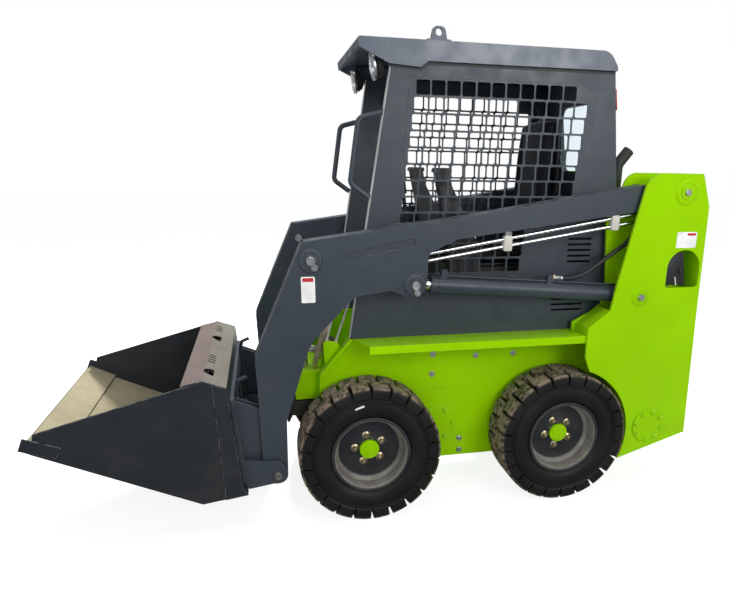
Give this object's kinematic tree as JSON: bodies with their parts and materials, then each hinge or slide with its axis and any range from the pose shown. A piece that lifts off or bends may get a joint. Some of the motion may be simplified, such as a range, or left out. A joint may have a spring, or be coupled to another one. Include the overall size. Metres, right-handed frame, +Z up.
{
  "type": "compact wheeled skid steer loader",
  "caption": "Compact wheeled skid steer loader with an open-front caged cab, twin lift arms on rear towers, and a tilting earth bucket on a quick coupler.",
  "frame": {"origin": "on the ground under the middle of the machine's length and width", "axes": "+X forward, +Y to the machine's left, +Z up"},
  "size_m": [2.727, 0.97, 1.9199],
  "materials": {
    "lime_paint": "semi-gloss lime green enamel, dusty low down",
    "slate_paint": "satin dark slate blue enamel, scuffed at the bucket",
    "rim_paint": "satin black enamel",
    "dark_steel": "matt black chassis paint",
    "bright_steel": "hard chromed rods and plated tubes",
    "tyre_rubber": "black rubber with dry brown dust on the tread",
    "hose_rubber": "black braided hose cover",
    "black_plastic": "grained black",
    "seat_vinyl": "black seat vinyl",
    "window_glass": "clear safety glass",
    "lamp_lens": "clear ribbed lamp lens",
    "red_lens": "red lamp lens"
  },
  "bodies": {
    "root": {"chassis": "lime_paint", "front_step": "dark_steel", "tower_left": "lime_paint", "tower_right": "lime_paint", "axle_front": "dark_steel", "axle_rear": "dark_steel", "engine_block": "dark_steel", "engine_hood": "slate_paint", "cab_side_left": "slate_paint", "cab_side_right": "slate_paint", "cab_grille_left": "slate_paint", "cab_grille_right": "slate_paint", "cab_roof": "slate_paint", "cab_rear": "slate_paint", "rear_window": "window_glass", "seat_base": "dark_steel", "seat": "seat_vinyl", "control_console_left": "black_plastic", "control_console_right": "black_plastic", "grab_handles": "black_plastic", "work_lamps": "lamp_lens", "lifting_eyes": "black_plastic", "tail_lamps": "red_lens", "exhaust": "dark_steel"},
    "boom": {"boom_arm_left": "slate_paint", "boom_arm_right": "slate_paint", "boom_cross_member": "slate_paint", "boom_tubes": "bright_steel"},
    "bucket": {"coupler": "slate_paint", "bucket": "slate_paint"},
    "rear_door": {"rear_door": "slate_paint"},
    "lift_barrel_left": {"lift_barrel_left": "slate_paint", "lift_hose_left": "hose_rubber"},
    "lift_rod_left": {"lift_rod_left": "bright_steel"},
    "tilt_barrel_left": {"tilt_barrel_left": "slate_paint"},
    "tilt_rod_left": {"tilt_rod_left": "bright_steel"},
    "wheel_front_left": {"tyre_front_left": "tyre_rubber", "rim_front_left": "rim_paint"},
    "wheel_rear_left": {"tyre_rear_left": "tyre_rubber", "rim_rear_left": "rim_paint"},
    "lift_barrel_right": {"lift_barrel_right": "slate_paint", "lift_hose_right": "hose_rubber"},
    "lift_rod_right": {"lift_rod_right": "bright_steel"},
    "tilt_barrel_right": {"tilt_barrel_right": "slate_paint"},
    "tilt_rod_right": {"tilt_rod_right": "bright_steel"},
    "wheel_front_right": {"tyre_front_right": "tyre_rubber", "rim_front_right": "rim_paint"},
    "wheel_rear_right": {"tyre_rear_right": "tyre_rubber", "rim_rear_right": "rim_paint"}
  },
  "joints": [
    {"name": "boom_lift", "type": "hinge", "parent": "root", "child": "boom", "pos_m": [-1.2165, 0, 1.335], "axis": [0, -1, 0], "range_deg": [0, 60]},
    {"name": "bucket_tilt", "type": "hinge", "parent": "boom", "child": "bucket", "pos_m": [0.4735, 0, 0.23], "axis": [0, 1, 0], "range_deg": [-5, 115]},
    {"name": "rear_door_hinge", "type": "hinge", "parent": "root", "child": "rear_door", "pos_m": [-1.3555, -0.256, 0.52], "axis": [0, 0, 1], "range_deg": [0, 100]},
    {"name": "lift_swing_left", "type": "hinge", "parent": "root", "child": "lift_barrel_left", "pos_m": [-1.0565, 0.381, 0.904], "axis": [0, -1, 0], "range_deg": [0, 55.6]},
    {"name": "lift_stroke_left", "type": "slide", "parent": "lift_barrel_left", "child": "lift_rod_left", "axis": [0.9971, 0, 0.0758], "range_m": [0, 0.451]},
    {"name": "tilt_swing_left", "type": "hinge", "parent": "boom", "child": "tilt_barrel_left", "pos_m": [0.3175, 0.381, 1.082], "axis": [0, 1, 0], "range_deg": [-0.1, 1.2]},
    {"name": "tilt_stroke_left", "type": "slide", "parent": "tilt_barrel_left", "child": "tilt_rod_left", "axis": [0.339, 0, -0.9408], "range_m": [-0.019, 0.414]},
    {"name": "roll_front_left", "type": "hinge", "parent": "root", "child": "wheel_front_left", "pos_m": [0.0995, 0.381, 0.292], "axis": [0, 1, 0], "continuous": true},
    {"name": "roll_rear_left", "type": "hinge", "parent": "root", "child": "wheel_rear_left", "pos_m": [-0.7505, 0.381, 0.292], "axis": [0, 1, 0], "continuous": true},
    {"name": "lift_swing_right", "type": "hinge", "parent": "root", "child": "lift_barrel_right", "pos_m": [-1.0565, -0.381, 0.904], "axis": [0, -1, 0], "range_deg": [0, 55.6]},
    {"name": "lift_stroke_right", "type": "slide", "parent": "lift_barrel_right", "child": "lift_rod_right", "axis": [0.9971, 0, 0.0758], "range_m": [0, 0.451]},
    {"name": "tilt_swing_right", "type": "hinge", "parent": "boom", "child": "tilt_barrel_right", "pos_m": [0.3175, -0.381, 1.082], "axis": [0, 1, 0], "range_deg": [-0.1, 1.2]},
    {"name": "tilt_stroke_right", "type": "slide", "parent": "tilt_barrel_right", "child": "tilt_rod_right", "axis": [0.339, 0, -0.9408], "range_m": [-0.019, 0.414]},
    {"name": "roll_front_right", "type": "hinge", "parent": "root", "child": "wheel_front_right", "pos_m": [0.0995, -0.381, 0.292], "axis": [0, 1, 0], "continuous": true},
    {"name": "roll_rear_right", "type": "hinge", "parent": "root", "child": "wheel_rear_right", "pos_m": [-0.7505, -0.381, 0.292], "axis": [0, 1, 0], "continuous": true}
  ],
  "couplings": [
    {"joint": "lift_swing_left", "follows": "boom_lift", "ratio": 0.92562},
    {"joint": "lift_stroke_left", "follows": "boom_lift", "m_per_rad": 0.43015},
    {"joint": "tilt_swing_left", "follows": "bucket_tilt", "ratio": 0.0099},
    {"joint": "tilt_stroke_left", "follows": "bucket_tilt", "m_per_rad": 0.20578},
    {"joint": "lift_swing_right", "follows": "boom_lift", "ratio": 0.92562},
    {"joint": "lift_stroke_right", "follows": "boom_lift", "m_per_rad": 0.43015},
    {"joint": "tilt_swing_right", "follows": "bucket_tilt", "ratio": 0.0099},
    {"joint": "tilt_stroke_right", "follows": "bucket_tilt", "m_per_rad": 0.20578}
  ]
}
